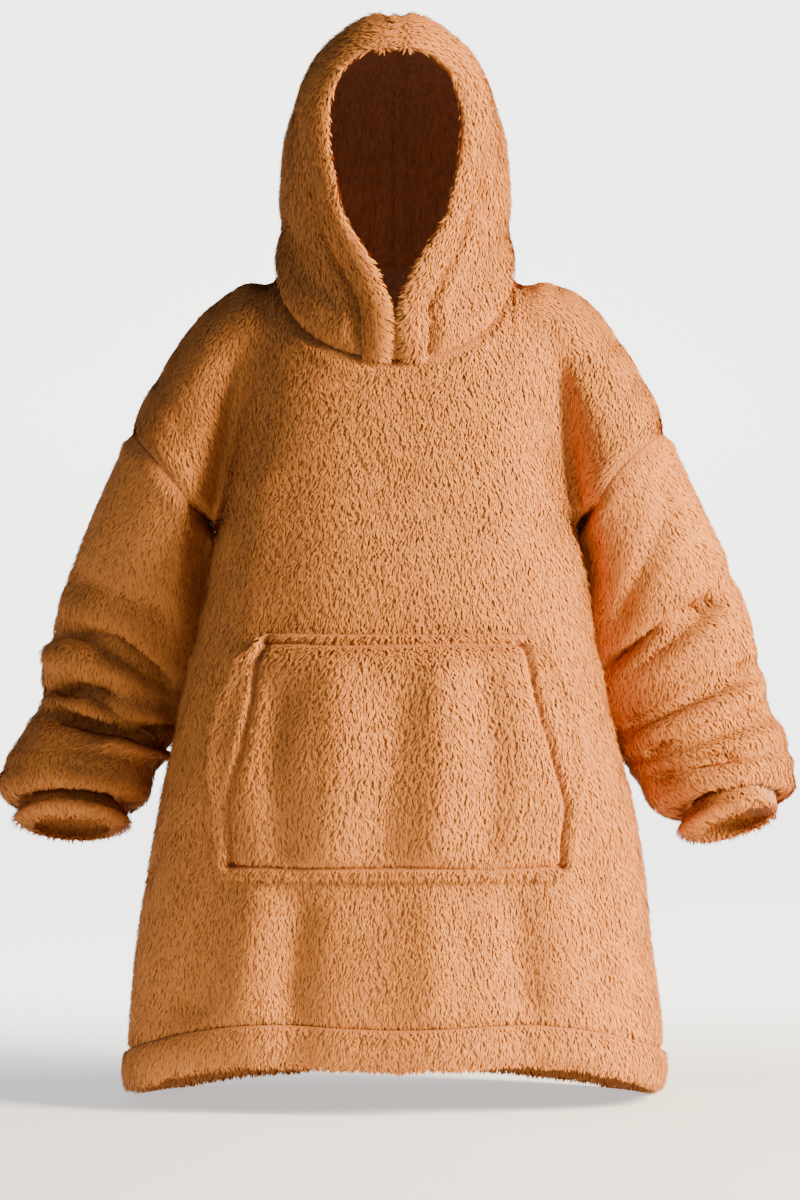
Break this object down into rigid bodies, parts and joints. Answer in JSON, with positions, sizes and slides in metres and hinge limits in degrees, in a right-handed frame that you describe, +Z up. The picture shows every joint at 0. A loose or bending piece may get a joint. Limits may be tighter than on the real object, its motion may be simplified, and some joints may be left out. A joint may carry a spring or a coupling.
{
  "type": "hooded blanket top",
  "caption": "Long plush pullover with hood, kangaroo pocket, dropped sleeves, gathered cuffs and turned hem, filled out as worn",
  "frame": {"origin": "midway between the two neck points of the shoulder seams, where the wearer's shoulders carry the garment", "axes": "+Z up along the garment's length, the front faces -Y, +X is the viewer's right when looking at the front"},
  "size_m": [0.8788, 0.4051, 1.1858],
  "materials": {
    "plush": "deep pile"
  },
  "bodies": {
    "root": {"front_panel": "plush", "back_panel": "plush", "sleeve_left": "plush", "sleeve_right": "plush", "cuff_left": "plush", "cuff_right": "plush", "hood_left": "plush", "hood_right": "plush", "hood_edge_left": "plush", "hood_edge_right": "plush", "pocket": "plush", "hem_front": "plush", "hem_back": "plush"}
  },
  "joints": []
}
